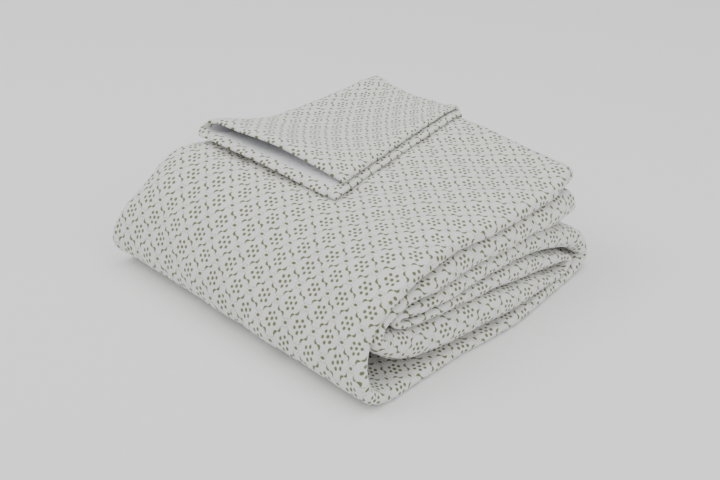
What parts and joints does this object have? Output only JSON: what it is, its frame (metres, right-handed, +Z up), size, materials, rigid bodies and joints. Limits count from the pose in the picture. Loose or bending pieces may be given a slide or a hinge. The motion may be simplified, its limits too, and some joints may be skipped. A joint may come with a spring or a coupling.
{
  "type": "folded quilted coverlet",
  "caption": "Soft quilted bed coverlet with a small all-over block print, folded into a thick bundle with a doubled flap turned back on top",
  "frame": {"origin": "middle of the footprint on the surface that it rests on", "axes": "+Z up, X along the closed folded front, Y from the front to the back of the bundle"},
  "size_m": [0.497, 0.4772, 0.1819],
  "materials": {
    "printed_cotton": "soft washed quilted cotton, matt"
  },
  "bodies": {
    "root": {"coverlet": "printed_cotton"}
  },
  "joints": []
}
